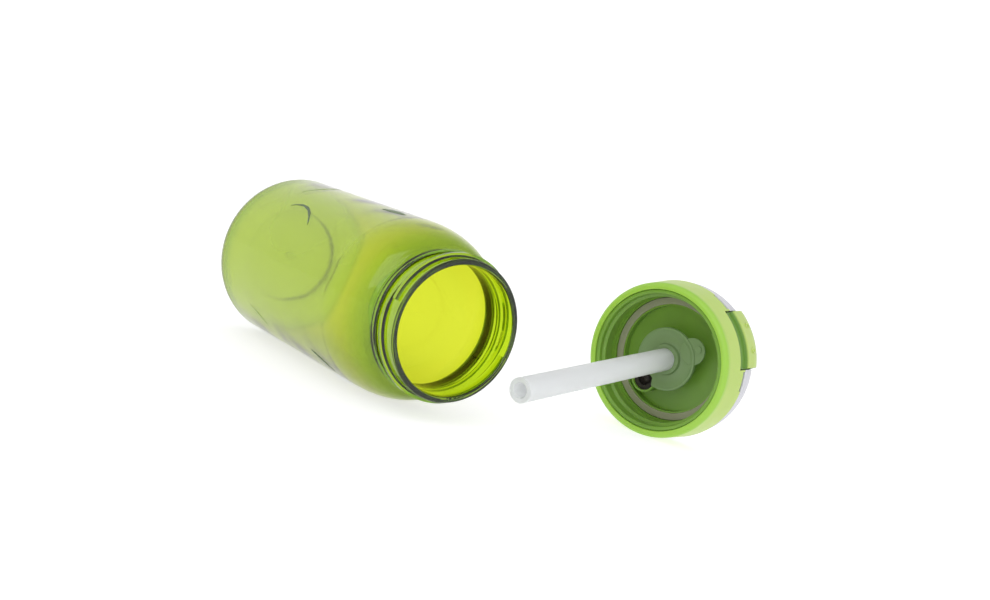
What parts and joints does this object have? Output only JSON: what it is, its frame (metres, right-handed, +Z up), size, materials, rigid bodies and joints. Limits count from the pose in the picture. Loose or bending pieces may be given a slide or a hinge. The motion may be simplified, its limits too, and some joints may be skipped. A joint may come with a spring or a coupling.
{
  "type": "kids water bottle",
  "caption": "Child's straw water bottle on its side, tinted clear body with threaded neck, and its unscrewed flip-top lid with push button, seal, valve and straw.",
  "frame": {"origin": "centre of the bounding box in plan, on the surface that the bottle and lid lie on", "axes": "+X along the bottle's axis from base to mouth, +Z up, the lid lies on the +Y side"},
  "size_m": [0.1567, 0.2159, 0.073],
  "materials": {
    "bottle_green": "gloss, tinted clear",
    "core_green": "satin",
    "collar_green": "satin",
    "seal_grey": "matt",
    "valve_black": "matt",
    "clear_silicone": "frosted",
    "frosted_straw": "frosted",
    "cover_white": "satin",
    "pin_steel": "drawn wire",
    "button_green": "satin"
  },
  "bodies": {
    "bottle": {"bottle_body": "bottle_green"},
    "lid": {"lid_core": "core_green", "lid_collar": "collar_green", "vent_valve": "valve_black", "mouthpiece": "clear_silicone", "hinge_pin": "pin_steel", "cover_spring": "pin_steel", "button_spring": "pin_steel"},
    "cover": {"flip_cover": "cover_white", "cover_pad": "clear_silicone"},
    "button": {"push_button": "button_green"},
    "seal": {"lid_seal": "seal_grey"},
    "adapter": {"straw_adapter": "clear_silicone"},
    "straw_tube": {"straw": "frosted_straw"}
  },
  "joints": [
    {"name": "lid_turn", "type": "hinge", "parent": "bottle", "child": "lid", "pos_m": [0.03885, 0.06006, 0.0352], "axis": [0.3276, -0.9408, -0.0872], "range_deg": [0, 180]},
    {"name": "cover_flip", "type": "hinge", "parent": "lid", "child": "cover", "pos_m": [0.00262, 0.06922, 0.01818], "axis": [-0.4618, -0.2399, 0.8539], "range_deg": [0, 110]},
    {"name": "button_press", "type": "slide", "parent": "lid", "child": "button", "axis": [-0.8243, -0.2395, -0.5131], "range_m": [0, 0.0018], "stiffness_N_per_m": 800, "springref_m": -0.003},
    {"name": "seal_pull", "type": "slide", "parent": "lid", "child": "seal", "axis": [0.3276, -0.9408, -0.0872], "range_m": [0, 0.02]},
    {"name": "adapter_pull", "type": "slide", "parent": "lid", "child": "adapter", "axis": [0.3276, -0.9408, -0.0872], "range_m": [0, 0.02]},
    {"name": "straw_pull", "type": "slide", "parent": "adapter", "child": "straw_tube", "axis": [0.3253, -0.9342, -0.1461], "range_m": [0, 0.02]}
  ]
}
